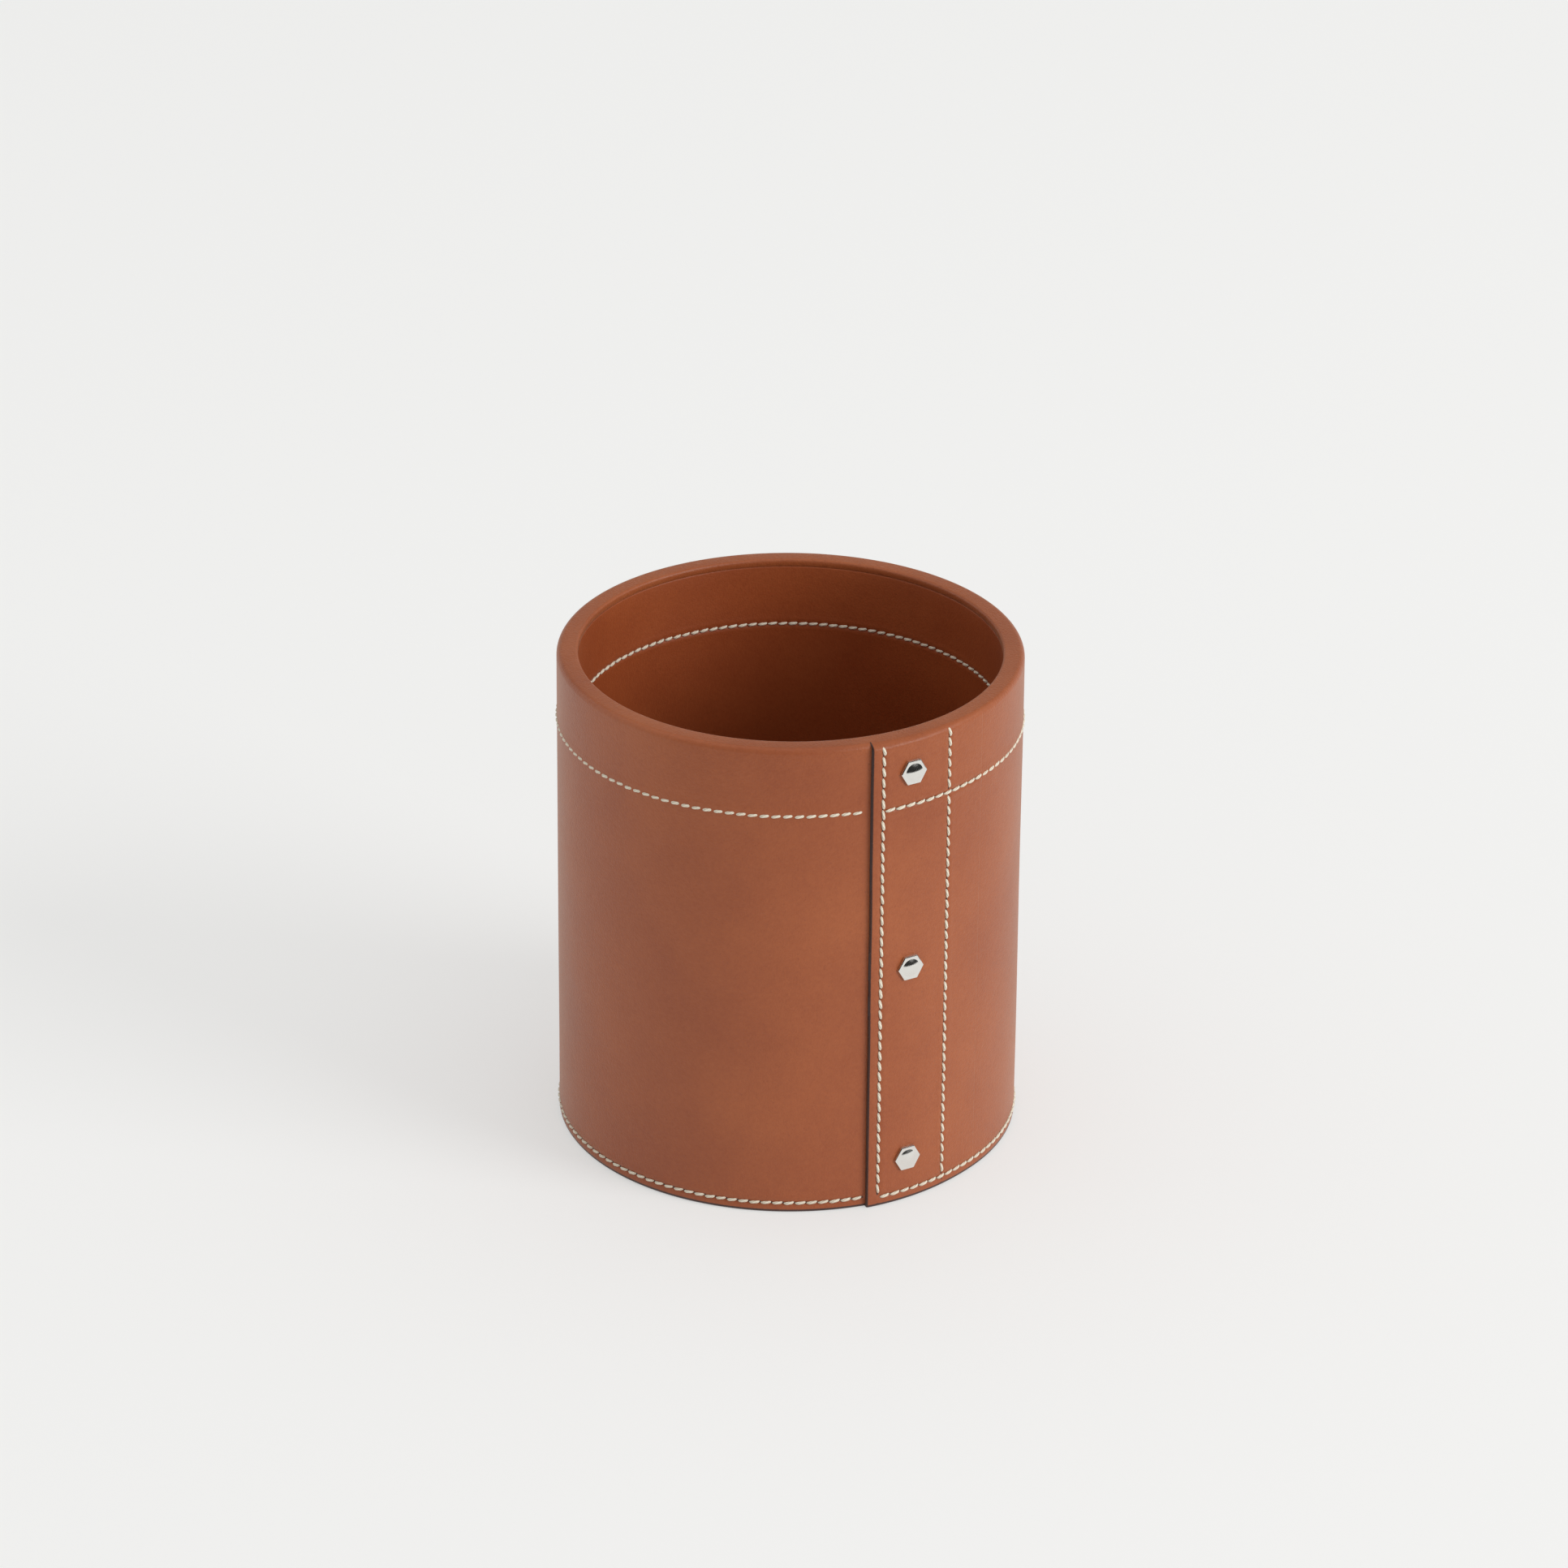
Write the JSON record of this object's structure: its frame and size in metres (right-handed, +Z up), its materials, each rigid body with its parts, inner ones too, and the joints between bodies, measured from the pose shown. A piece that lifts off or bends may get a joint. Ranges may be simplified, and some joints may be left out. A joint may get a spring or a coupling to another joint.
{
  "type": "pen pot",
  "caption": "Round tan leather pen pot with a rolled rim, cream stitching and a studded overlap down the front.",
  "frame": {"origin": "centre of the underside, on the table", "axes": "+Z up, out of the open mouth; -Y out of the front, through the line of studs; +X to the right as seen from the front"},
  "size_m": [0.121, 0.1225, 0.132],
  "materials": {
    "tan_leather": "smooth, semi-gloss",
    "lining_leather": "smooth, satin",
    "base_leather": "matt, suede side out",
    "fibreboard": "matt",
    "cream_thread": "waxed, twisted",
    "polished_metal": "polished",
    "plain_steel": "plain"
  },
  "bodies": {
    "root": {"outer_wrap": "tan_leather", "core_tube": "fibreboard", "lining": "lining_leather", "base_cover": "base_leather", "base_board": "fibreboard", "floor_pad": "lining_leather", "rim_thread": "cream_thread", "base_thread": "cream_thread", "left_overlap_thread": "cream_thread", "right_overlap_thread": "cream_thread", "hex_studs": "polished_metal", "stud_screws": "plain_steel"}
  },
  "joints": []
}
